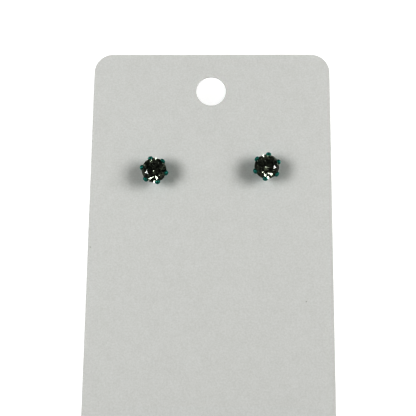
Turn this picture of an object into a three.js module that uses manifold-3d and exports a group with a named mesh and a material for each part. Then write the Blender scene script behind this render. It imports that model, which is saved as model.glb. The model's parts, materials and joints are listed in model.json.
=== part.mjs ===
// A pair of six-prong stud earrings, pushed through the plain card that they are sold on.
// Millimetres, +Z up. The card lies face up, propped by the two posts behind it: its foot
// edge and the round ends of both posts stand on z = 0.
//
// Card frame: x across the card, y from the foot edge (0) to the top edge, z = 0 on its back.
// Stud frame: z = 0 under the head's base disc, +Z towards the stone, the post along -Z.

import * as THREE from "three";
import { mergeVertices } from "three/addons/utils/BufferGeometryUtils.js";
import Module from "manifold-3d";

// The card: a 2 by 3 1/2 inch blank with a punched hang hole and two pierced post holes.
const CARD_WIDTH = 50.8;
const CARD_LENGTH = 88.9;
const CARD_THICKNESS = 0.4;
const CORNER_RADIUS = 4;
const HANG_HOLE_DIAMETER = 6.35;
const HANG_HOLE_FROM_TOP = 8.2;
const POST_HOLE_DIAMETER = 1.1;

// The studs: where each post goes through the card, and how its head is turned on the post.
const STUDS = [
  { name: "left", x: -11.45, fromTop: 26.2, turnDegrees: 47.9 },
  { name: "right", x: 11.6, fromTop: 25.3, turnDegrees: 22.2 },
];

// The stone: a round brilliant, its height zero halfway up the girdle.
const STONE_DIAMETER = 5;
const TABLE_RATIO = 0.57;
const GIRDLE_HEIGHT = 0.15;
const BEZEL_SLOPE = 34.5;
const PAVILION_SLOPE = 40.8;
const GIRDLE_SIDES = 48;

// The setting: a base disc, six round-wire prongs, a gallery ring and a post, soldered together.
const GIRDLE_ABOVE_BASE = 3;
const BASE_DIAMETER = 2.5;
const BASE_THICKNESS = 0.5;
const PRONG_COUNT = 6;
const PRONG_DIAMETER = 0.85;
const RING_DIAMETER = 3.5;
const RING_WIRE_DIAMETER = 0.55;
const RING_HEIGHT = 1.6;
const POST_DIAMETER = 0.8;
const POST_LENGTH = 10;
const SEAT_GAP = 0.06;

// The centre line of one prong: from the base disc, out past the girdle, and just over the crown.
const PRONG_LINE = [
  { radius: 0.95, height: 0.3 },
  { radius: 1.74, height: 1.6 },
  { radius: 2.36, height: 2.6 },
  { radius: 2.52, height: 3 },
  { radius: 2.47, height: 3.22 },
];

// The clutch: a butterfly back, one strip of sheet curled into two scrolls that grip the post.
const CLUTCH_SHEET = 0.25;
const CLUTCH_WIDTH = 3.6;
const SCROLL_RADIUS = 0.9;
const SCROLL_SWEEP = 285;
const CLUTCH_GAP = 0.06;
const GRIP_GAP = 0.1;
const CLUTCH_BEHIND_CARD = 0.1;

// The base disc of the stud that stands closest to the card keeps this gap to its face.
const HEAD_STANDOFF = 0.1;

const CARD_WHITE = new THREE.MeshStandardMaterial({ color: 0xd3d4cf, roughness: 0.85 });
const TEAL_METAL = new THREE.MeshStandardMaterial({
  color: 0x0e6a64,
  roughness: 0.25,
  metalness: 1,
});
const SMOKY_CRYSTAL = new THREE.MeshStandardMaterial({ color: 0x3c403d, roughness: 0.05 });
const STEEL = new THREE.MeshStandardMaterial({ color: 0xb9bab8, roughness: 0.3, metalness: 1 });

const radians = THREE.MathUtils.degToRad;

const wasm = await Module();
wasm.setup();

function toSolid(geometry) {
  const bare = geometry.clone();
  bare.deleteAttribute("normal");
  bare.deleteAttribute("uv");
  const merged = mergeVertices(bare);
  const mesh = new wasm.Mesh({
    numProp: 3,
    vertProperties: merged.attributes.position.array,
    triVerts: Uint32Array.from(merged.index.array),
  });
  return new wasm.Manifold(mesh);
}

function toGeometry(solid) {
  const mesh = solid.getMesh();
  const geometry = new THREE.BufferGeometry();
  geometry.setAttribute("position", new THREE.BufferAttribute(mesh.vertProperties, 3));
  geometry.setIndex(new THREE.BufferAttribute(mesh.triVerts, 1));
  geometry.computeVertexNormals();
  return geometry;
}

// A cylinder that stands on z = bottom, with its axis on z.
function standingCylinder(diameter, height, bottom, sides) {
  const geometry = new THREE.CylinderGeometry(diameter / 2, diameter / 2, height, sides);
  geometry.rotateX(Math.PI / 2);
  geometry.translate(0, 0, bottom + height / 2);
  return geometry;
}

// ---- Card ----

function roundedRectangle(width, length, radius) {
  const outline = new THREE.Shape();
  const side = width / 2 - radius;
  outline.absarc(side, radius, radius, -Math.PI / 2, 0, false);
  outline.absarc(side, length - radius, radius, 0, Math.PI / 2, false);
  outline.absarc(-side, length - radius, radius, Math.PI / 2, Math.PI, false);
  outline.absarc(-side, radius, radius, Math.PI, Math.PI * 1.5, false);
  return outline;
}

function punchedHole(diameter, x, y, height, sides) {
  const geometry = standingCylinder(diameter, height, -height / 3, sides);
  geometry.translate(x, y, 0);
  return toSolid(geometry);
}

function cardGeometry() {
  const outline = roundedRectangle(CARD_WIDTH, CARD_LENGTH, CORNER_RADIUS);
  const sheet = new THREE.ExtrudeGeometry(outline, {
    depth: CARD_THICKNESS,
    bevelEnabled: false,
    curveSegments: 5,
  });
  const punch = CARD_THICKNESS * 3;
  const hangHoleY = CARD_LENGTH - HANG_HOLE_FROM_TOP;
  let card = toSolid(sheet).subtract(punchedHole(HANG_HOLE_DIAMETER, 0, hangHoleY, punch, 48));
  for (const stud of STUDS) {
    const y = CARD_LENGTH - stud.fromTop;
    card = card.subtract(punchedHole(POST_HOLE_DIAMETER, stud.x, y, punch, 16));
  }
  return toGeometry(card);
}

// ---- Stone ----

// Each tier is a ring of equal flat facets. Its planes lean by slope from level and pass
// through the point at distance reach from the axis and at the given height.
function facetTiers() {
  const girdle = STONE_DIAMETER / 2;
  const rim = GIRDLE_HEIGHT / 2;
  const tableRadius = girdle * TABLE_RATIO;
  const tableHeight = rim + (girdle - tableRadius) * Math.tan(radians(BEZEL_SLOPE));
  const tableEdge = tableRadius * Math.cos(radians(22.5));
  const halfReach = girdle * Math.cos(radians(11.25));
  return [
    { name: "table", side: 1, count: 1, turn: 0, slope: 0, reach: 0, height: tableHeight },
    { name: "star", side: 1, count: 8, turn: 22.5, slope: 21.4, reach: tableEdge, height: tableHeight },
    { name: "bezel", side: 1, count: 8, turn: 0, slope: BEZEL_SLOPE, reach: girdle, height: rim },
    { name: "upper half", side: 1, count: 16, turn: 11.25, slope: 41.1, reach: halfReach, height: rim },
    { name: "main", side: -1, count: 8, turn: 0, slope: PAVILION_SLOPE, reach: girdle, height: rim },
    { name: "lower half", side: -1, count: 16, turn: 11.25, slope: 42, reach: halfReach, height: rim },
  ];
}

// The stone is cut facet by facet from a round blank. A margin above zero grows it evenly
// on every side, which gives the seat that the prongs are notched to.
function cutStone(margin) {
  const blankHeight = STONE_DIAMETER * 1.5;
  const blankDiameter = STONE_DIAMETER + 2 * margin;
  const blank = standingCylinder(blankDiameter, blankHeight, -blankHeight / 2, GIRDLE_SIDES);
  let stone = toSolid(blank);
  for (const tier of facetTiers()) {
    const across = Math.sin(radians(tier.slope));
    const up = Math.cos(radians(tier.slope));
    const distance = tier.reach * across + tier.height * up + margin;
    for (let i = 0; i < tier.count; i += 1) {
      const turn = radians(tier.turn + (360 / tier.count) * i);
      const inward = [-across * Math.cos(turn), -across * Math.sin(turn), -up * tier.side];
      stone = stone.trimByPlane(inward, -distance);
    }
  }
  return stone.translate([0, 0, GIRDLE_ABOVE_BASE]);
}

// ---- Setting ----

function prong() {
  const points = PRONG_LINE.map((point) => new THREE.Vector3(point.radius, 0, point.height));
  const path = new THREE.CatmullRomCurve3(points);
  const section = new THREE.Shape();
  section.absarc(0, 0, PRONG_DIAMETER / 2, 0, 2 * Math.PI, false);
  const wire = new THREE.ExtrudeGeometry(section, {
    steps: 6,
    curveSegments: 4,
    extrudePath: path,
    bevelEnabled: false,
  });
  const tip = new THREE.SphereGeometry(PRONG_DIAMETER / 2, 8, 4);
  tip.translate(...points.at(-1));
  return toSolid(wire).add(toSolid(tip));
}

function galleryRing() {
  const ring = new THREE.TorusGeometry(RING_DIAMETER / 2, RING_WIRE_DIAMETER / 2, 6, 24);
  ring.translate(0, 0, RING_HEIGHT);
  return toSolid(ring);
}

// The post starts inside the base disc and ends in a half round.
function post() {
  const radius = POST_DIAMETER / 2;
  const outline = [new THREE.Vector2(0, BASE_THICKNESS / 2), new THREE.Vector2(radius, BASE_THICKNESS / 2)];
  const arcSteps = 4;
  for (let i = 0; i <= arcSteps; i += 1) {
    const angle = (Math.PI / 2) * (i / arcSteps);
    const height = -POST_LENGTH + radius - radius * Math.sin(angle);
    outline.push(new THREE.Vector2(radius * Math.cos(angle), height));
  }
  outline.at(-1).x = 0;
  outline.reverse();
  const turned = new THREE.LatheGeometry(outline, 16);
  turned.rotateX(Math.PI / 2);
  return toSolid(turned);
}

function settingGeometry() {
  const base = toSolid(standingCylinder(BASE_DIAMETER, BASE_THICKNESS, 0, 32));
  let setting = base.add(galleryRing()).add(post());
  const oneProng = prong();
  for (let i = 0; i < PRONG_COUNT; i += 1) {
    setting = setting.add(oneProng.rotate([0, 0, (360 / PRONG_COUNT) * i]));
  }
  return toGeometry(setting.subtract(cutStone(SEAT_GAP)));
}

// ---- Clutch ----

// The side view of the strip's right half, from where it leaves the card's back round the scroll.
function clutchHalfLine() {
  const gripX = POST_DIAMETER / 2 + GRIP_GAP + CLUTCH_SHEET / 2;
  const centre = new THREE.Vector2(gripX + SCROLL_RADIUS, -SCROLL_RADIUS);
  const line = [];
  const steps = 16;
  for (let i = 0; i <= steps; i += 1) {
    const angle = radians(90 - (SCROLL_SWEEP * i) / steps);
    const round = new THREE.Vector2(Math.cos(angle), Math.sin(angle));
    line.push(round.multiplyScalar(SCROLL_RADIUS).add(centre));
  }
  return line;
}

// The strip's outline: the line moved out by half the sheet on one side, and back on the other.
function stripOutline(line) {
  const outer = [];
  const inner = [];
  line.forEach((point, i) => {
    const before = line[Math.max(i - 1, 0)];
    const after = line[Math.min(i + 1, line.length - 1)];
    const along = after.clone().sub(before).normalize();
    const across = new THREE.Vector2(-along.y, along.x).multiplyScalar(CLUTCH_SHEET / 2);
    outer.push(point.clone().add(across));
    inner.unshift(point.clone().sub(across));
  });
  return outer.concat(inner);
}

function clutchGeometry() {
  const right = clutchHalfLine();
  const left = right.map((point) => new THREE.Vector2(-point.x, point.y));
  const outline = stripOutline(left.reverse().concat(right));
  const strip = new THREE.ExtrudeGeometry(new THREE.Shape(outline), {
    depth: CLUTCH_WIDTH,
    bevelEnabled: false,
  });
  strip.translate(0, 0, -CLUTCH_WIDTH / 2);
  strip.rotateX(Math.PI / 2);
  const holeDiameter = POST_DIAMETER + 2 * CLUTCH_GAP;
  const hole = standingCylinder(holeDiameter, CLUTCH_SHEET * 2, -CLUTCH_SHEET, 16);
  const clutch = toSolid(strip).subtract(toSolid(hole));
  const plateTop = CLUTCH_SHEET / 2;
  return toGeometry(clutch.translate([0, 0, -plateTop]));
}

// ---- How the loaded card lies ----

// The card tips up until a post's round end, this far behind the card's back, meets the floor.
function restAngle(postEnd, distanceFromFoot) {
  const radius = POST_DIAMETER / 2;
  const arm = Math.hypot(postEnd - radius, distanceFromFoot);
  return Math.atan2(postEnd - radius, distanceFromFoot) + Math.asin(radius / arm);
}

// How far a post standing on the floor sticks out behind the card, at a given tilt.
function postEndBehindCard(tilt, distanceFromFoot) {
  const radius = POST_DIAMETER / 2;
  return radius + (distanceFromFoot * Math.sin(tilt) - radius) / Math.cos(tilt);
}

const highStud = STUDS.reduce((a, b) => (a.fromTop < b.fromTop ? a : b));
const reachBehind = POST_LENGTH - CARD_THICKNESS - HEAD_STANDOFF;
const cardTilt = restAngle(reachBehind, CARD_LENGTH - highStud.fromTop);

function namedMesh(name, geometry, material) {
  const mesh = new THREE.Mesh(geometry, material);
  mesh.name = name;
  return mesh;
}

function placedStud(stud, geometries) {
  const y = CARD_LENGTH - stud.fromTop;
  const behind = postEndBehindCard(cardTilt, y);
  const head = new THREE.Group();
  head.position.z = POST_LENGTH - behind;
  head.rotation.z = radians(stud.turnDegrees);
  head.add(namedMesh(`${stud.name}_setting`, geometries.setting, TEAL_METAL));
  head.add(namedMesh(`${stud.name}_stone`, geometries.stone, SMOKY_CRYSTAL));
  const clutch = namedMesh(`${stud.name}_clutch`, geometries.clutch, STEEL);
  clutch.position.z = -CLUTCH_BEHIND_CARD;
  const place = new THREE.Group();
  place.position.set(stud.x, y, 0);
  place.add(head, clutch);
  return place;
}

function loadedCard() {
  const geometries = {
    setting: settingGeometry(),
    stone: toGeometry(cutStone(0)),
    clutch: clutchGeometry(),
  };
  const card = new THREE.Group();
  card.add(namedMesh("display_card", cardGeometry(), CARD_WHITE));
  for (const stud of STUDS) {
    card.add(placedStud(stud, geometries));
  }
  const topY = CARD_LENGTH * Math.cos(cardTilt);
  const footY = -CARD_THICKNESS * Math.sin(cardTilt);
  card.rotation.x = cardTilt;
  card.position.y = -(topY + footY) / 2;
  return card;
}

const studsOnCard = new THREE.Group();
studsOnCard.add(loadedCard());

export default studsOnCard;
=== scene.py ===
# %% [markdown]
# # Stud earrings on their card
# A pair of small pierced-ear studs, each a round brilliant crystal held by six teal prongs, is
# pushed through the plain card that it is sold on. The card lies face up. Its foot edge and the
# round ends of the two posts touch the table, so the card leans back by about eight degrees.
#
# The sizes and places come from the measured model of the object, which is loaded first. This
# script then makes every surface as fine as the real one: the stone facet by facet, the prongs
# with Geometry Nodes, and a procedural material for each finish.

# %% Load the measured model
import json
import math

import bmesh
import bpy
from mathutils import Matrix, Vector


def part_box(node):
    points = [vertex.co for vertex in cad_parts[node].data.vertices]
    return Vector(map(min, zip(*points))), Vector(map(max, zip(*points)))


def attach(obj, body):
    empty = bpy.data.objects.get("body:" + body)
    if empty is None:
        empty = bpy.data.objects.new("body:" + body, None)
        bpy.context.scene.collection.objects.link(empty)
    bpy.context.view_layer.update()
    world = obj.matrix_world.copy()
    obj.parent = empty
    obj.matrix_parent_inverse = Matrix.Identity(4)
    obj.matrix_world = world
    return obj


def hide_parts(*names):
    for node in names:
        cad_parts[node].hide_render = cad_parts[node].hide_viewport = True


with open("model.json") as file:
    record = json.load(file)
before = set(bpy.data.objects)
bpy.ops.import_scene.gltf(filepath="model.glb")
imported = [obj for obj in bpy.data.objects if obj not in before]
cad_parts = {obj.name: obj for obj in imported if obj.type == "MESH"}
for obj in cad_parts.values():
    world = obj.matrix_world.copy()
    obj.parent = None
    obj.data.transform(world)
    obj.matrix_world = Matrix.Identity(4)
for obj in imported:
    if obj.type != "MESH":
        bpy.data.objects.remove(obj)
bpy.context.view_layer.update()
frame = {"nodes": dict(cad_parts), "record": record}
MM = 0.001

# %% [markdown]
# ## A frame for the leaning card
# Everything here is built square to the card, so it helps to think in the card's own frame: x
# across the card, y up it from the foot edge, and z out of its face, all in millimetres. The
# model's record holds the middle of the foot edge and of the top edge, and the way each faces.
# Two points and one direction are all that the matrix needs.

# %% The card's own frame, in millimetres
mounts = {mount["name"]: mount for mount in frame["record"]["mounts"]}
foot = Vector(mounts["foot_edge"]["pos_m"])
top = Vector(mounts["top_edge"]["pos_m"])
foot.x = top.x = 0.0
ACROSS = Vector((1.0, 0.0, 0.0))
UP_CARD = (top - foot).normalized()
OUT = ACROSS.cross(UP_CARD)

card_length = (top - foot).length / MM
card_thickness = round(2 * foot.z / OUT.z / MM, 2)
card_width = (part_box("display_card")[1].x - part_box("display_card")[0].x) / MM
card_back = foot - OUT * card_thickness * MM / 2

card_place = Matrix.Translation(card_back) @ Matrix(
    (ACROSS * MM, UP_CARD * MM, OUT * MM)).transposed().to_4x4()
lean = math.degrees(math.asin(UP_CARD.z))
print(f"card {card_width:.2f} x {card_length:.2f} x {card_thickness:.2f} mm, leaning {lean:.2f} degrees")


def in_card_frame(node):
    """Lowest and highest corners of a model node, measured square to the card, in mm."""
    to_card = card_place.inverted()
    points = [to_card @ vertex.co for vertex in frame["nodes"][node].data.vertices]
    low = Vector([min(point[i] for point in points) for i in range(3)])
    high = Vector([max(point[i] for point in points) for i in range(3)])
    return low, high


# %% [markdown]
# ## The camera
# The camera looks down on the card from about ten centimetres, as a hand-held close-up does, so
# the near end of the card looks clearly wider than the far end. Its place is given from the
# card's face and top edge. At this distance the near clipping plane has to come much closer
# than its usual ten centimetres.

# %% Camera
CAMERA_ABOVE_FACE = 100.0
CAMERA_RIGHT = 2.16
CAMERA_BELOW_TOP_EDGE = 45.21
CAMERA_PITCH = 6.67
CAMERA_YAW = 1.4
CAMERA_ROLL = 0.59
CAMERA_LENS = 41.67
SENSOR_WIDTH = 36.0
CLIP_START = 0.005
CLIP_END = 20.0


def make_camera():
    data = bpy.data.cameras.new("camera")
    data.sensor_width = SENSOR_WIDTH
    data.lens = CAMERA_LENS
    data.clip_start = CLIP_START
    data.clip_end = CLIP_END
    camera = bpy.data.objects.new("camera", data)
    bpy.context.scene.collection.objects.link(camera)
    where = Vector((CAMERA_RIGHT, card_length - CAMERA_BELOW_TOP_EDGE,
                    card_thickness + CAMERA_ABOVE_FACE))
    turned = (Matrix.Rotation(math.radians(CAMERA_ROLL), 3, "Z")
              @ Matrix.Rotation(math.radians(CAMERA_YAW), 3, "Y")
              @ Matrix.Rotation(math.radians(CAMERA_PITCH), 3, "X"))
    axes = Matrix((ACROSS, UP_CARD, OUT)).transposed() @ turned
    camera.matrix_world = Matrix.Translation(card_place @ where) @ axes.to_4x4()
    bpy.context.scene.camera = camera
    return camera


camera = make_camera()
print("camera at", [round(x / MM, 1) for x in camera.location], "mm")

# %% [markdown]
# ## Colours and nodes
# A hex code is how a maker quotes a colour, but shaders work in linear light, so one function
# turns the one into the other. A second small function adds a node, sets it up and links it.

# %% Helpers for materials


def linear(hex_code):
    """A colour quoted as sRGB hex, in linear light."""
    channels = [int(hex_code[i:i + 2], 16) / 255 for i in (1, 3, 5)]
    return [c / 12.92 if c <= 0.04045 else ((c + 0.055) / 1.055) ** 2.4 for c in channels] + [1.0]


def add_node(tree, kind, inputs=None, **settings):
    """Adds a node. inputs maps a socket's name or number to a value, or to a socket to link."""
    node = tree.nodes.new(kind)
    for name, value in settings.items():
        setattr(node, name, value)
    for key, value in (inputs or {}).items():
        if isinstance(value, bpy.types.NodeSocket):
            tree.links.new(value, node.inputs[key])
        else:
            node.inputs[key].default_value = value
    return node


def new_material(name):
    """An empty material with its shader, its output, and the point being shaded, in metres."""
    material = bpy.data.materials.new(name)
    material.use_nodes = True
    tree = material.node_tree
    tree.nodes.clear()
    shader = add_node(tree, "ShaderNodeBsdfPrincipled")
    add_node(tree, "ShaderNodeOutputMaterial", {"Surface": shader.outputs["BSDF"]})
    place = add_node(tree, "ShaderNodeTexCoord").outputs["Object"]
    return material, tree, shader, place


def per_mm(size):
    """The texture scale whose pattern repeats about once in size millimetres."""
    return 1.0 / (size * MM)


print("mid grey, #808080, is", round(linear("#808080")[0], 3), "of full light")

# %% [markdown]
# ## Finishing a piece
# Each piece is modelled in the card's millimetres, because whole numbers are easier to think in
# and because cutting tools work badly on shapes a few thousandths of a unit across. Its mesh is
# then carried to its place, and it takes over from the plain solid of the model.

# %% Placing pieces
SHARP_ANGLE = math.radians(35)


def finish_piece(name, mesh, place, material):
    """Carries a mesh from the card's millimetres to its place and shows it for its node."""
    mesh.transform(card_place @ place)
    mesh.materials.clear()
    mesh.materials.append(material)
    piece = bpy.data.objects.new(f"fine_{name}", mesh)
    bpy.context.scene.collection.objects.link(piece)
    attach(piece, "root")
    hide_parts(name)
    print(f"{piece.name}: {len(mesh.polygons)} faces")


def mesh_of(source):
    """The plain mesh that an object's curve or modifiers make. The object itself is removed."""
    depsgraph = bpy.context.evaluated_depsgraph_get()
    depsgraph.update()
    mesh = bpy.data.meshes.new_from_object(source.evaluated_get(depsgraph))
    bpy.data.objects.remove(source)
    return mesh


def mesh_from(bm, name):
    """A mesh out of a finished bmesh, which is freed."""
    mesh = bpy.data.meshes.new(name)
    bm.to_mesh(mesh)
    bm.free()
    return mesh


# %% [markdown]
# ## The card
# The real card is die-cut from solid bleached board: the knife leaves straight sides, rounded
# corners and a clean punched hole, and squeezes the very edge a little round. It could be a
# box with booleans, but a flat filled curve is the quicker way: the outline and each hole are
# closed splines, Extrude gives the thickness and a small Bevel the squeezed edge.

# %% Card shape
CORNER_RADIUS = 4.0
HANG_HOLE_DIAMETER = 6.35
HANG_HOLE_BELOW_TOP = 8.2
POST_HOLE_DIAMETER = 1.1
SQUEEZED_EDGE = 0.07
CORNER_STEPS = 14
HANG_HOLE_SIDES = 72
POST_HOLE_SIDES = 24


def arc(centre, radius, start, end, steps):
    """Points along an arc, angles in degrees."""
    angles = [math.radians(start + (end - start) * i / steps) for i in range(steps + 1)]
    return [(centre[0] + radius * math.cos(a), centre[1] + radius * math.sin(a)) for a in angles]


def card_outline():
    """The card's edge, anticlockwise from its lower right corner."""
    side = card_width / 2 - CORNER_RADIUS
    low, high = CORNER_RADIUS, card_length - CORNER_RADIUS
    corners = [((side, low), -90), ((side, high), 0), ((-side, high), 90), ((-side, low), 180)]
    points = []
    for centre, start in corners:
        points += arc(centre, CORNER_RADIUS, start, start + 90, CORNER_STEPS)
    return points


def round_hole(centre, diameter, sides):
    """A closed ring of points, with no point doubled where it meets itself."""
    return arc(centre, diameter / 2, 0, 360 - 360 / sides, sides - 1)


def card_mesh(post_places):
    """The card in its own millimetres, its back at height zero, with a hole at each place."""
    curve = bpy.data.curves.new("card_cut", "CURVE")
    curve.dimensions = "2D"
    curve.fill_mode = "BOTH"
    curve.extrude = card_thickness / 2 - SQUEEZED_EDGE
    curve.bevel_depth = SQUEEZED_EDGE
    curve.bevel_resolution = 2
    curve.offset = -SQUEEZED_EDGE
    cuts = [card_outline()]
    hang_hole = (0.0, card_length - HANG_HOLE_BELOW_TOP)
    cuts.append(round_hole(hang_hole, HANG_HOLE_DIAMETER, HANG_HOLE_SIDES))
    for place in post_places:
        cuts.append(round_hole(place, POST_HOLE_DIAMETER, POST_HOLE_SIDES))
    for points in cuts:
        spline = curve.splines.new("POLY")
        spline.points.add(len(points) - 1)
        for point, (x, y) in zip(spline.points, points):
            point.co = (x, y, 0.0, 1.0)
        spline.use_cyclic_u = True
    card = bpy.data.objects.new("card_cut", curve)
    bpy.context.scene.collection.objects.link(card)
    mesh = mesh_of(card)
    mesh.transform(Matrix.Translation((0.0, 0.0, card_thickness / 2)))
    return mesh


print(f"card outline: {len(card_outline())} points, {CORNER_RADIUS} mm corners")

# %% [markdown]
# ## The card's finish
# Bleached paperboard, uncoated: wood fibres pressed flat and calendered. The eye reads it as
# paper and not plastic from three things: it has no gloss, its white wavers very slightly where
# fibres lie closer or looser, and it holds a few grey specks of bark or ink from the pulp.
# The fibres themselves are a few hundredths of a millimetre wide, too fine to show, so the
# mottle is drawn at the size of the clumps that they lie in, with a fainter and wider cloud
# from how the pulp settled.

# %% Paperboard material
FIBRE_CLUMP = 0.35
PULP_CLOUD = 2.4
PULP_CLOUD_WEIGHT = 0.25
SPECK_SPACING = 7.0
SURFACE_RELIEF = 0.02


def paperboard():
    material, tree, shader, place = new_material("bleached_paperboard")
    clumps = add_node(tree, "ShaderNodeTexNoise", {
        "Vector": place, "Scale": per_mm(FIBRE_CLUMP), "Detail": 3.0, "Roughness": 0.6})
    cloud = add_node(tree, "ShaderNodeTexNoise", {
        "Vector": place, "Scale": per_mm(PULP_CLOUD), "Detail": 2.0})
    mottle = add_node(tree, "ShaderNodeMath", {
        0: cloud.outputs[0], 1: PULP_CLOUD_WEIGHT, 2: clumps.outputs[0]}, operation="MULTIPLY_ADD")
    share = add_node(tree, "ShaderNodeMapRange", {
        "Value": mottle.outputs[0], "From Min": 0.4, "From Max": 0.85})
    white = add_node(tree, "ShaderNodeMix", {
        "Factor": share.outputs[0], 6: linear("#D3D3D2"), 7: linear("#DBDBDB")}, data_type="RGBA")
    cells = add_node(tree, "ShaderNodeTexVoronoi", {
        "Vector": place, "Scale": per_mm(SPECK_SPACING)})
    speck = add_node(tree, "ShaderNodeMapRange", {
        "Value": cells.outputs["Distance"], "From Min": 0.012, "From Max": 0.022,
        "To Min": 0.45, "To Max": 0.0})
    shade = add_node(tree, "ShaderNodeMix", {
        "Factor": speck.outputs[0], 6: white.outputs[2], 7: linear("#77756E")}, data_type="RGBA")
    tree.links.new(shade.outputs[2], shader.inputs["Base Color"])
    bump = add_node(tree, "ShaderNodeBump", {
        "Strength": 0.25, "Distance": SURFACE_RELIEF * MM, "Height": clumps.outputs[0]})
    tree.links.new(bump.outputs[0], shader.inputs["Normal"])
    shader.inputs["Roughness"].default_value = 0.85
    shader.inputs["Specular IOR Level"].default_value = 0.25
    return material


board = paperboard()
print(f"{board.name}: {len(board.node_tree.nodes)} nodes, fibre clumps of {FIBRE_CLUMP} mm")

# %% [markdown]
# ## Making the card
# The post holes have to be where the heads are, so the heads are found first: each stone's
# middle, measured in the card's frame, is the line its post goes down.

# %% Make the card
STUDS = ["left", "right"]
heads = {}
for side in STUDS:
    low, high = in_card_frame(f"{side}_stone")
    heads[side] = (low + high) / 2
    print(f"{side} head stands at {heads[side].x:.2f}, {heads[side].y:.2f} mm")

finish_piece(
    "display_card",
    card_mesh([(head.x, head.y) for head in heads.values()]),
    Matrix.Identity(4), board)

# %% [markdown]
# ## The stone
# A round brilliant is cut, not moulded: the cutter holds a round blank against a flat lap at one
# angle, turns it by equal steps, and works tier by tier. The script does the same. It starts
# from a many-sided blank and slices off whatever lies outside each facet's plane, so that
# every facet is exactly flat and meets its neighbours where real facets meet.

# %% Cutting the stone
STONE_DIAMETER = 5.0
TABLE_RATIO = 0.57
GIRDLE_HEIGHT = 0.15
BEZEL_SLOPE = 34.5
STAR_SLOPE = 21.4
UPPER_HALF_SLOPE = 41.1
PAVILION_SLOPE = 40.8
LOWER_HALF_SLOPE = 42.0
GIRDLE_SIDES = 96
SMALLEST_FACET = 0.05
GIRDLE_ABOVE_BASE = 3.0


def facet_tiers():
    """Name, side (1 crown, -1 pavilion), count, first turn, slope, and a point on each plane."""
    girdle = STONE_DIAMETER / 2
    rim = GIRDLE_HEIGHT / 2
    table_radius = girdle * TABLE_RATIO
    table_height = rim + (girdle - table_radius) * math.tan(math.radians(BEZEL_SLOPE))
    table_edge = table_radius * math.cos(math.radians(22.5))
    half_reach = girdle * math.cos(math.radians(11.25))
    return [
        ("table", 1, 1, 0, 0, 0, table_height),
        ("stars", 1, 8, 22.5, STAR_SLOPE, table_edge, table_height),
        ("bezels", 1, 8, 0, BEZEL_SLOPE, girdle, rim),
        ("upper halves", 1, 16, 11.25, UPPER_HALF_SLOPE, half_reach, rim),
        ("mains", -1, 8, 0, PAVILION_SLOPE, girdle, rim),
        ("lower halves", -1, 16, 11.25, LOWER_HALF_SLOPE, half_reach, rim),
    ]


def cut_stone(margin=0.0, sides=GIRDLE_SIDES):
    """The stone, girdle at height zero, grown evenly by the margin."""
    bm = bmesh.new()
    radius = STONE_DIAMETER / 2 + margin
    bmesh.ops.create_cone(bm, cap_ends=True, segments=sides, radius1=radius, radius2=radius,
                          depth=STONE_DIAMETER * 1.5)
    for _name, side, count, first_turn, slope, reach, height in facet_tiers():
        across = math.sin(math.radians(slope))
        up = math.cos(math.radians(slope))
        distance = reach * across + height * up + margin
        for i in range(count):
            turn = math.radians(first_turn + 360 / count * i)
            normal = Vector((across * math.cos(turn), across * math.sin(turn), up * side))
            cut = bmesh.ops.bisect_plane(
                bm, geom=bm.verts[:] + bm.edges[:] + bm.faces[:], dist=1e-5,
                plane_co=normal * distance, plane_no=normal, clear_outer=True)
            rim_edges = [e for e in cut["geom_cut"] if isinstance(e, bmesh.types.BMEdge)]
            bmesh.ops.edgeloop_fill(bm, edges=rim_edges)
    bmesh.ops.recalc_face_normals(bm, faces=bm.faces[:])
    return mesh_from(bm, "stone")


sample = cut_stone()
flat_faces = sum(1 for face in sample.polygons if face.area > SMALLEST_FACET)
print(f"{len(sample.polygons)} faces, {flat_faces} of them facets")
bpy.data.meshes.remove(sample)

# %% [markdown]
# ## The crystal
# Cut crystal looks the way it does because of its facets and its high refractive index, not
# its colour: light that enters from the side is turned back to the eye as small hard
# flashes, and every facet that has nothing bright to send back looks black. This one is a
# little smoky, so the body colour is a mid grey, faintly green, that each pass through a face
# deepens. Its index is set between crystal glass (about 1.55) and zirconia (about 2.15), for
# the brightness of its flashes.

# %% Crystal material
COLOUR_ZONE = 2.0
CRYSTAL_INDEX = 1.9


def smoky_crystal():
    material, tree, shader, place = new_material("smoky_cut_glass")
    zones = add_node(tree, "ShaderNodeTexNoise", {
        "Vector": place, "Scale": per_mm(COLOUR_ZONE), "Detail": 1.0})
    body = add_node(tree, "ShaderNodeMix", {
        "Factor": zones.outputs[0], 6: linear("#B3C0B4"), 7: linear("#C3C4B8")}, data_type="RGBA")
    tree.links.new(body.outputs[2], shader.inputs["Base Color"])
    shader.inputs["Transmission Weight"].default_value = 0.97
    shader.inputs["Roughness"].default_value = 0.02
    shader.inputs["IOR"].default_value = CRYSTAL_INDEX
    return material


crystal = smoky_crystal()
print(f"{crystal.name}: index {CRYSTAL_INDEX}")

# %% [markdown]
# ## The setting
# The head is a basket: six wires rise from a small base disc, lean out to the girdle and are
# bent over the crown, and a gallery ring ties them half way up. The post is soldered under the
# disc. Every prong is the same wire turned by a sixth of a circle, so Geometry Nodes make them.
# Three points give the centre line and a fillet gives the bend at the shoulder. The wire is
# pressed a little flat, which makes each claw wider than it is deep, and its section shrinks
# along a quarter circle at the tip, where a setter rounds it off.

# %% Sizes of the basket
PRONG_COUNT = 6
PRONG_DIAMETER = 0.85
PRONG_PRESSING = (1.2, 0.83, 1.0)
PRONG_FOOT = (0.95, 0.0, 0.25)
PRONG_SHOULDER = (2.67, 0.0, 2.95)
PRONG_TIP = (2.44, 0.0, 3.62)
PRONG_BEND = 0.6
POINTS_ALONG_PRONG = 64
SHARE_LEFT_AT_TIP = 0.02
RING_DIAMETER = 3.5
RING_WIRE_DIAMETER = 0.55
RING_HEIGHT = 1.6

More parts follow.
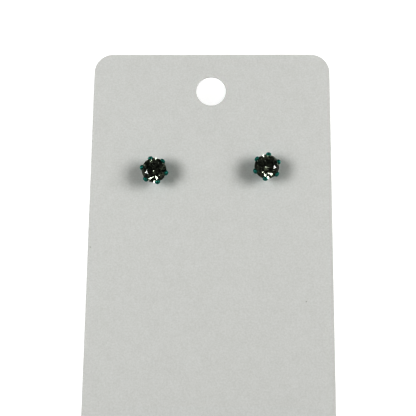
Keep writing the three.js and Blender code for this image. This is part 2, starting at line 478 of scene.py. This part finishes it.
claw = PRONG_DIAMETER * PRONG_PRESSING[0], PRONG_DIAMETER * PRONG_PRESSING[1]
print(f"claws {claw[0]:.2f} mm wide and {claw[1]:.2f} mm deep")

# %% [markdown]
# ### One prong's wire
# Two short chains of nodes do the shaping. The first turns three given points into a bent line.
# The second gives the section's size along it, which has to be worked out after the line has
# been cut into many points, or the tip's rounding would spread along the whole wire.

# %% Nodes for one prong


def group_inputs(tree, specs):
    for name, (kind, value) in specs.items():
        socket = tree.interface.new_socket(name, in_out="INPUT", socket_type=kind)
        if value is not None:
            socket.default_value = value
    return add_node(tree, "NodeGroupInput").outputs


def math_node(tree, operation, a, b=0.0):
    return add_node(tree, "ShaderNodeMath", {0: a, 1: b}, operation=operation).outputs[0]


def prong_line(tree, given):
    """The centre line: foot, shoulder and tip, with the shoulder bent to a radius."""
    index = add_node(tree, "GeometryNodeInputIndex").outputs[0]
    corner = add_node(tree, "GeometryNodeIndexSwitch", data_type="VECTOR")
    corner.index_switch_items.new()
    tree.links.new(index, corner.inputs["Index"])
    for number, name in enumerate(("Prong foot", "Prong shoulder", "Prong tip"), start=1):
        tree.links.new(given[name], corner.inputs[number])
    points = add_node(tree, "GeometryNodePoints", {"Count": 3, "Position": corner.outputs[0]})
    bent = add_node(tree, "GeometryNodePointsToCurves", {"Points": points.outputs[0]})
    bent = add_node(tree, "GeometryNodeFilletCurve", {
        "Curve": bent.outputs[0], "Radius": given["Prong bend"], "Count": 12}, mode="POLY")
    return add_node(tree, "GeometryNodeResampleCurve", {
        "Curve": bent.outputs[0], "Count": POINTS_ALONG_PRONG})


def tip_rounding(tree, line, radius):
    """The section's size along the wire: full, then a quarter circle down to nearly nothing."""
    whole = add_node(tree, "GeometryNodeSplineLength").outputs["Length"]
    walked = add_node(tree, "GeometryNodeSplineParameter").outputs["Length"]
    into_tip = add_node(tree, "ShaderNodeMapRange", {
        "Value": walked, "From Min": math_node(tree, "SUBTRACT", whole, radius),
        "From Max": whole}).outputs[0]
    squared = math_node(tree, "MULTIPLY", into_tip, into_tip)
    left = math_node(tree, "SUBTRACT", 1.0, squared)
    return math_node(tree, "SQRT", math_node(tree, "MAXIMUM", left, SHARE_LEFT_AT_TIP ** 2))


def prong_wire(tree, given):
    """One prong: the pressed section carried along the line, closed at both ends."""
    line = prong_line(tree, given)
    section = add_node(tree, "GeometryNodeCurvePrimitiveCircle", {
        "Resolution": 24, "Radius": given["Prong radius"]})
    pressed = add_node(tree, "GeometryNodeTransform", {
        "Geometry": section.outputs[0], "Scale": given["Prong pressing"]})
    return add_node(tree, "GeometryNodeCurveToMesh", {
        "Curve": line.outputs[0], "Profile Curve": pressed.outputs[0],
        "Scale": tip_rounding(tree, line, given["Prong radius"]), "Fill Caps": True})


# %% [markdown]
# ### The whole basket
# The tree's inputs are the basket's sizes, so a setter could make another size from the same
# tree. One wire is placed six times, the ring is swept from two circles, and a boolean solders
# them to the base and the post that come in as the object's own mesh.

# %% Nodes for the basket


def six_prongs(tree, given):
    """The prong, once for each equal step round the post, as real geometry."""
    wire = prong_wire(tree, given)
    points = add_node(tree, "GeometryNodeMeshLine", {
        "Count": given["Prong count"], "Offset": (0.0, 0.0, 0.0)})
    index = add_node(tree, "GeometryNodeInputIndex").outputs[0]
    step = math_node(tree, "DIVIDE", 2 * math.pi, given["Prong count"])
    turn = add_node(tree, "FunctionNodeAxisAngleToRotation", {
        "Axis": (0.0, 0.0, 1.0), "Angle": math_node(tree, "MULTIPLY", index, step)})
    prongs = add_node(tree, "GeometryNodeInstanceOnPoints", {
        "Points": points.outputs[0], "Instance": wire.outputs[0], "Rotation": turn.outputs[0]})
    return add_node(tree, "GeometryNodeRealizeInstances", {"Geometry": prongs.outputs[0]})


def gallery_ring(tree, given):
    """The ring that ties the prongs, lifted to its height."""
    circle = add_node(tree, "GeometryNodeCurvePrimitiveCircle", {
        "Resolution": 72, "Radius": given["Ring radius"]})
    section = add_node(tree, "GeometryNodeCurvePrimitiveCircle", {
        "Resolution": 16, "Radius": given["Ring wire radius"]})
    ring = add_node(tree, "GeometryNodeCurveToMesh", {
        "Curve": circle.outputs[0], "Profile Curve": section.outputs[0]})
    lift = add_node(tree, "ShaderNodeCombineXYZ", {"Z": given["Ring height"]})
    return add_node(tree, "GeometryNodeTransform", {
        "Geometry": ring.outputs[0], "Translation": lift.outputs[0]})


def basket_tree():
    """The whole setting as one Geometry Nodes tree, with the sizes as its inputs."""
    tree = bpy.data.node_groups.new("prong_basket", "GeometryNodeTree")
    given = group_inputs(tree, {
        "Base and post": ("NodeSocketGeometry", None),
        "Prong count": ("NodeSocketInt", 6),
        "Prong radius": ("NodeSocketFloat", 0.4),
        "Prong pressing": ("NodeSocketVector", (1.0, 1.0, 1.0)),
        "Prong foot": ("NodeSocketVector", (1.0, 0.0, 0.0)),
        "Prong shoulder": ("NodeSocketVector", (2.5, 0.0, 3.0)),
        "Prong tip": ("NodeSocketVector", (2.3, 0.0, 4.0)),
        "Prong bend": ("NodeSocketFloat", 0.5),
        "Ring radius": ("NodeSocketFloat", 1.5),
        "Ring wire radius": ("NodeSocketFloat", 0.25),
        "Ring height": ("NodeSocketFloat", 1.5),
        "Metal": ("NodeSocketMaterial", None),
    })
    tree.interface.new_socket("Setting", in_out="OUTPUT", socket_type="NodeSocketGeometry")
    solder = add_node(tree, "GeometryNodeMeshBoolean", operation="UNION", solver="EXACT")
    ring, prongs = gallery_ring(tree, given), six_prongs(tree, given)
    for part in (ring.outputs[0], prongs.outputs[0], given["Base and post"]):
        tree.links.new(part, solder.inputs["Mesh 2"])
    real = add_node(tree, "GeometryNodeRealizeInstances", {"Geometry": solder.outputs[0]})
    metal = add_node(tree, "GeometryNodeSetMaterial", {
        "Geometry": real.outputs[0], "Material": given["Metal"]})
    add_node(tree, "NodeGroupOutput", {0: metal.outputs[0]})
    return tree


prong_basket = basket_tree()
print(f"{prong_basket.name}: {len(prong_basket.nodes)} nodes")

# %% [markdown]
# The base disc and the post are turned parts, so their half outline is spun round the axis.
# The prongs are then notched to the stone, as a setter does with a burr: the stone, grown by a
# hair, is subtracted from the finished basket.

# %% Base disc, post and seat
BASE_DIAMETER = 2.5
BASE_THICKNESS = 0.5
POST_DIAMETER = 0.8
POST_LENGTH = 10.0
SOFT_EDGE = 0.1
SEAT_GAP = 0.05
WELD_DISTANCE = 0.001


def turned(outline, steps, name):
    """Spins a half outline of (radius, height) points, which starts and ends on the axis."""
    bm = bmesh.new()
    points = [bm.verts.new((radius, 0.0, height)) for radius, height in outline]
    edges = [bm.edges.new(pair) for pair in zip(points, points[1:])]
    bmesh.ops.spin(bm, geom=points + edges, cent=(0, 0, 0), axis=(0, 0, 1),
                   angle=2 * math.pi, steps=steps, use_merge=True)
    bmesh.ops.remove_doubles(bm, verts=bm.verts[:], dist=1e-4)
    bmesh.ops.recalc_face_normals(bm, faces=bm.faces[:])
    return mesh_from(bm, name)


def base_and_post():
    """The disc that sits on the card, and the post under it with its round end."""
    post = POST_DIAMETER / 2
    rim = BASE_DIAMETER / 2 - SOFT_EDGE
    outline = [(radius, -POST_LENGTH + post + height)
               for radius, height in arc((0, 0), post, -90, 0, 8)]
    outline[0] = (0.0, outline[0][1])
    outline += arc((post + SOFT_EDGE, -SOFT_EDGE), SOFT_EDGE, 180, 90, 4)
    outline += arc((rim, SOFT_EDGE), SOFT_EDGE, -90, 0, 4)
    outline += arc((rim, BASE_THICKNESS - SOFT_EDGE), SOFT_EDGE, 0, 90, 4)
    outline.append((0.0, BASE_THICKNESS))
    return turned(outline, 48, "base_and_post")


def set_inputs(modifier, values):
    """Sets a Geometry Nodes modifier's inputs through their sockets' identifiers."""
    sockets = modifier.node_group.interface.items_tree
    identifiers = {item.name: item.identifier for item in sockets if item.in_out == "INPUT"}
    for name, value in values.items():
        modifier[identifiers[name]] = value


def weld(mesh, distance):
    """Joins points closer than the distance, which booleans leave where curves nearly touch."""
    bm = bmesh.new()
    bm.from_mesh(mesh)
    bmesh.ops.remove_doubles(bm, verts=bm.verts[:], dist=distance)
    bmesh.ops.dissolve_degenerate(bm, edges=bm.edges[:], dist=distance)
    bm.to_mesh(mesh)
    bm.free()


def setting_mesh(metal, seat):
    """The whole metal part. The seat is where the stone lies in it."""
    blank = bpy.data.objects.new("setting_blank", base_and_post())
    bpy.context.scene.collection.objects.link(blank)
    basket = blank.modifiers.new("basket", "NODES")
    basket.node_group = prong_basket
    set_inputs(basket, {
        "Prong count": PRONG_COUNT, "Prong radius": PRONG_DIAMETER / 2,
        "Prong pressing": PRONG_PRESSING,
        "Prong foot": PRONG_FOOT, "Prong shoulder": PRONG_SHOULDER,
        "Prong tip": PRONG_TIP, "Prong bend": PRONG_BEND,
        "Ring radius": RING_DIAMETER / 2, "Ring wire radius": RING_WIRE_DIAMETER / 2,
        "Ring height": RING_HEIGHT, "Metal": metal})
    burr = bpy.data.objects.new("burr", cut_stone(SEAT_GAP))
    burr.data.transform(seat)
    bpy.context.scene.collection.objects.link(burr)
    notch = blank.modifiers.new("notch", "BOOLEAN")
    notch.object = burr
    notch.operation = "DIFFERENCE"
    notch.solver = "EXACT"
    mesh = mesh_of(blank)
    bpy.data.objects.remove(burr)
    weld(mesh, WELD_DISTANCE)
    mesh.shade_smooth()
    mesh.set_sharp_from_angle(angle=SHARP_ANGLE)
    return mesh


# %% [markdown]
# ## The teal finish
# The metal is steel with a thin ceramic coat laid on in a vacuum, which keeps the mirror of the
# polished steel and gives it a deep blue-green. The eye sees it as coloured metal because its
# reflections are teal and not white, and it goes nearly black where it reflects nothing. The
# coat varies a little in thickness, and with it the colour.

# %% Teal metal material
COAT_CLOUD = 1.2
POLISH_GRAIN = 0.15


def teal_coated_steel():
    material, tree, shader, place = new_material("teal_coated_steel")
    coat = add_node(tree, "ShaderNodeTexNoise", {
        "Vector": place, "Scale": per_mm(COAT_CLOUD), "Detail": 2.0})
    colour = add_node(tree, "ShaderNodeMix", {
        "Factor": coat.outputs[0], 6: linear("#3A7E78"), 7: linear("#48978C")}, data_type="RGBA")
    tree.links.new(colour.outputs[2], shader.inputs["Base Color"])
    polish = add_node(tree, "ShaderNodeTexNoise", {
        "Vector": place, "Scale": per_mm(POLISH_GRAIN), "Detail": 2.0})
    haze = add_node(tree, "ShaderNodeMapRange", {
        "Value": polish.outputs[0], "To Min": 0.28, "To Max": 0.42})
    tree.links.new(haze.outputs[0], shader.inputs["Roughness"])
    shader.inputs["Metallic"].default_value = 1.0
    return material


teal = teal_coated_steel()
print(f"{teal.name}: colour varies over about {COAT_CLOUD} mm")

# %% [markdown]
# ## The butterfly back
# A clutch like this is stamped from one strip of springy steel. The strip's middle lies against
# the card with a hole for the post, and its two ends are curled under into scrolls that grip
# the post between them. One smooth centre line, given a thickness and a width, makes it.

# %% Clutch shape
CLUTCH_SHEET = 0.25
CLUTCH_WIDTH = 3.6
SCROLL_RADIUS = 0.9
SCROLL_SWEEP = 285
CLUTCH_GAP = 0.06
GRIP_GAP = 0.1
SCROLL_STEPS = 40
STAMPED_EDGE = 0.04
PUNCH_HALF_LENGTH = 1.0


def clutch_line():
    """The strip's centre line seen from its end, from scroll to scroll."""
    grip = POST_DIAMETER / 2 + GRIP_GAP + CLUTCH_SHEET / 2
    right = arc((grip + SCROLL_RADIUS, -SCROLL_RADIUS), SCROLL_RADIUS, 90,
                90 - SCROLL_SWEEP, SCROLL_STEPS)
    left = [(-x, y) for x, y in reversed(right)]
    return left + right


def clutch_mesh():
    """The curled and punched strip, its card side at height zero."""
    bm = bmesh.new()
    line = [Vector((x, 0.0, z)) for x, z in clutch_line()]
    half = Vector((0.0, CLUTCH_WIDTH / 2, 0.0))
    rows = [(bm.verts.new(point - half), bm.verts.new(point + half)) for point in line]
    for (a, b), (c, d) in zip(rows, rows[1:]):
        bm.faces.new((a, b, d, c))
    strip = bpy.data.objects.new("clutch_strip", mesh_from(bm, "clutch_strip"))
    bpy.context.scene.collection.objects.link(strip)
    sheet = strip.modifiers.new("sheet", "SOLIDIFY")
    sheet.thickness = CLUTCH_SHEET
    sheet.offset = 0.0
    punch_radius = POST_DIAMETER / 2 + CLUTCH_GAP
    reach = PUNCH_HALF_LENGTH
    punch_outline = [(0.0, -reach), (punch_radius, -reach), (punch_radius, reach), (0.0, reach)]
    punch = bpy.data.objects.new("punch", turned(punch_outline, 40, "punch"))
    bpy.context.scene.collection.objects.link(punch)
    hole = strip.modifiers.new("hole", "BOOLEAN")
    hole.object = punch
    hole.operation = "DIFFERENCE"
    hole.solver = "EXACT"
    edge = strip.modifiers.new("edge", "BEVEL")
    edge.width = STAMPED_EDGE
    edge.segments = 2
    edge.limit_method = "ANGLE"
    edge.angle_limit = math.radians(50)
    mesh = mesh_of(strip)
    bpy.data.objects.remove(punch)
    mesh.transform(Matrix.Translation((0.0, 0.0, -CLUTCH_SHEET / 2)))
    mesh.shade_smooth()
    mesh.set_sharp_from_angle(angle=SHARP_ANGLE)
    return mesh


strip_line = clutch_line()
strip_length = sum(math.dist(a, b) for a, b in zip(strip_line, strip_line[1:]))
print(f"clutch: {strip_length:.1f} by {CLUTCH_WIDTH} mm of strip before it is curled")

# %% [markdown]
# ## The clutch's finish
# Cold-rolled spring steel, left bright. The rolls drag fine streaks along the strip, and the eye
# reads them as a satin sheen that is smoother one way than the other. The streaks are drawn
# about twelve times longer than they are wide, and a little coarser than real so that they show.

# %% Clutch material
ROLLING_STREAK = 0.12
STREAK_SQUEEZE = 0.08
STREAK_DEPTH = 0.005


def spring_steel():
    material, tree, shader, place = new_material("rolled_spring_steel")
    stretched = add_node(tree, "ShaderNodeMapping", {
        "Vector": place, "Scale": (1.0, STREAK_SQUEEZE, 1.0)})
    streaks = add_node(tree, "ShaderNodeTexNoise", {
        "Vector": stretched.outputs[0], "Scale": per_mm(ROLLING_STREAK), "Detail": 3.0})
    haze = add_node(tree, "ShaderNodeMapRange", {
        "Value": streaks.outputs[0], "To Min": 0.22, "To Max": 0.4})
    tree.links.new(haze.outputs[0], shader.inputs["Roughness"])
    tint = add_node(tree, "ShaderNodeMix", {
        "Factor": streaks.outputs[0], 6: linear("#C4C2BC"), 7: linear("#D6D5D1")}, data_type="RGBA")
    tree.links.new(tint.outputs[2], shader.inputs["Base Color"])
    rolled = add_node(tree, "ShaderNodeBump", {
        "Strength": 0.15, "Distance": STREAK_DEPTH * MM, "Height": streaks.outputs[0]})
    tree.links.new(rolled.outputs[0], shader.inputs["Normal"])
    shader.inputs["Metallic"].default_value = 1.0
    return material


steel = spring_steel()
print(f"{steel.name}: streaks {ROLLING_STREAK} by {ROLLING_STREAK / STREAK_SQUEEZE:.1f} mm")

# %% [markdown]
# ## The pair
# Both studs are the same three pieces. Only where they stand and how far each head happens to
# be turned differ, because nobody lines them up when they are pushed through the card. Each
# stone has its own turn in its setting too, and the left one sits a few degrees out of level,
# as hand-set stones do: that alone throws its flashes to other facets.

# %% Make both studs
HEAD_TURN = {"left": 47.9, "right": 22.2}
STONE_TURN = {"left": 38.0, "right": 36.0}
STONE_TILT = {"left": 4.0, "right": 0.0}

for side in STUDS:
    post_end = in_card_frame(f"{side}_setting")[0].z
    clutch_face = in_card_frame(f"{side}_clutch")[1].z
    head = Matrix.Translation((heads[side].x, heads[side].y, post_end + POST_LENGTH))
    head = head @ Matrix.Rotation(math.radians(HEAD_TURN[side]), 4, "Z")
    seat = (Matrix.Translation((0, 0, GIRDLE_ABOVE_BASE))
            @ Matrix.Rotation(math.radians(STONE_TILT[side]), 4, "X")
            @ Matrix.Rotation(math.radians(STONE_TURN[side]), 4, "Z"))
    finish_piece(f"{side}_setting", setting_mesh(teal, seat), head, teal)
    finish_piece(f"{side}_stone", cut_stone(), head @ seat, crystal)
    behind = Matrix.Translation((heads[side].x, heads[side].y, clutch_face))
    finish_piece(f"{side}_clutch", clutch_mesh(), behind, steel)

# %% [markdown]
# ## The table and the light
# The card lies on a lit table, so that the ground stays white right up to its edges. Two oval
# soft boxes hang to the left and the right, about forty centimetres away: each throws the
# heads' shadows to the other side, which is why every stud has a pair of soft shadows. The
# room above is dark, and that is what makes the facets dark between their flashes. Only what
# the metal and the stones reflect has to be dark, so a Light Path node keeps the backdrop
# itself pale, to match the table where they meet.

# %% Table
TABLE_REACH = 4.0
TABLE_GLOW = 0.85


def lit_table():
    """A pale translucent sheet lit from below: it stays white where the boxes don't reach."""
    material, tree, shader, _ = new_material("lit_table")
    shader.inputs["Base Color"].default_value = linear("#8C8C8C")
    shader.inputs["Roughness"].default_value = 0.6
    shader.inputs["Emission Color"].default_value = linear("#FFFFFF")
    shader.inputs["Emission Strength"].default_value = TABLE_GLOW
    mesh = bpy.data.meshes.new("floor")
    signs = [(-1, -1), (1, -1), (1, 1), (-1, 1)]
    corners = [(x * TABLE_REACH, y * TABLE_REACH, 0.0) for x, y in signs]
    mesh.from_pydata(corners, [], [(0, 1, 2, 3)])
    mesh.materials.append(material)
    floor = bpy.data.objects.new("floor", mesh)
    bpy.context.scene.collection.objects.link(floor)
    print(f"table: {2 * TABLE_REACH:g} m square")


lit_table()

# %% [markdown]
# ## The soft boxes
# A soft shadow's place gives a light's direction, and how far its edge spreads gives the light's
# size, so both boxes are given by direction, distance and size about the card's own frame.

# %% Soft boxes
CARD_CENTRE = card_place @ Vector((0.0, (heads["left"].y + heads["right"].y) / 2, card_thickness))


def soft_box(name, distance, azimuth, elevation, width, height, power):
    """An oval soft box aimed at the studs. Millimetres, and degrees about the card's frame."""
    data = bpy.data.lights.new(name, "AREA")
    data.shape = "ELLIPSE"
    data.size = width * MM
    data.size_y = height * MM
    data.energy = power
    light = bpy.data.objects.new(name, data)
    bpy.context.scene.collection.objects.link(light)
    turn, lift = math.radians(azimuth), math.radians(elevation)
    flat = math.cos(lift)
    towards = Vector((flat * math.cos(turn), flat * math.sin(turn), math.sin(lift)))
    spot = CARD_CENTRE + card_place.to_3x3() @ (towards * distance)
    facing = (spot - CARD_CENTRE).to_track_quat("Z", "Y")
    light.matrix_world = Matrix.Translation(spot) @ facing.to_matrix().to_4x4()
    print(f"{name}: {distance} mm away, {width} by {height} mm, {power} W")


soft_box("soft_box_left", distance=402, azimuth=181.7, elevation=47.6,
         width=245, height=225, power=1.138)
soft_box("soft_box_right", distance=448, azimuth=6.9, elevation=39.5,
         width=305, height=237, power=1.52)

# %% [markdown]
# ## The room
# What the facets show is the room, and an even one would make every dark facet the same black.
# Flat patches of different greys overhead, like panels and shelves, give each facet its own
# tone. The pale band at the horizon stands for the lit table's far side. The view's gamma then
# deepens the contrast, as a camera's own tone curve does.

# %% Room and tone
ROOM_PATCHES = 2.5
HORIZON_FADES_FROM = 0.02
HORIZON_FADES_TO = 0.16
VIEW_GAMMA = 0.55


def dark_room():
    """Lights the studs from a pale horizon under a dark ceiling. The backdrop itself is pale."""
    world = bpy.data.worlds.new("room")
    world.use_nodes = True
    tree = world.node_tree
    tree.nodes.clear()
    direction = add_node(tree, "ShaderNodeTexCoord").outputs["Generated"]
    height = add_node(tree, "ShaderNodeSeparateXYZ", {0: direction}).outputs["Z"]
    share = add_node(tree, "ShaderNodeMapRange", {
        "Value": height, "From Min": HORIZON_FADES_FROM, "From Max": HORIZON_FADES_TO},
        interpolation_type="SMOOTHSTEP")
    patches = add_node(tree, "ShaderNodeTexVoronoi", {
        "Vector": direction, "Scale": ROOM_PATCHES})
    shade_of_patch = add_node(tree, "ShaderNodeSeparateColor", {0: patches.outputs["Color"]})
    contrast = add_node(tree, "ShaderNodeMapRange", {
        "Value": shade_of_patch.outputs["Red"], "From Min": 0.35, "From Max": 1.0})
    ceiling = add_node(tree, "ShaderNodeMix", {
        "Factor": contrast.outputs[0], 6: linear("#0E100E"), 7: linear("#AEB1A6")}, data_type="RGBA")
    room = add_node(tree, "ShaderNodeMix", {
        "Factor": share.outputs[0], 6: linear("#F4F4F4"), 7: ceiling.outputs[2]}, data_type="RGBA")
    seen = add_node(tree, "ShaderNodeLightPath").outputs["Is Camera Ray"]
    colour = add_node(tree, "ShaderNodeMix", {
        "Factor": seen, 6: room.outputs[2], 7: linear("#F3F3F3")}, data_type="RGBA")
    shade = add_node(tree, "ShaderNodeBackground", {"Color": colour.outputs[2], "Strength": 1.0})
    add_node(tree, "ShaderNodeOutputWorld", {"Surface": shade.outputs[0]})
    bpy.context.scene.world = world


dark_room()
view = bpy.context.scene.view_settings
view.view_transform = "Standard"
view.gamma = VIEW_GAMMA
print(f"{bpy.context.scene.world.name}: view gamma {view.gamma:.2f}")
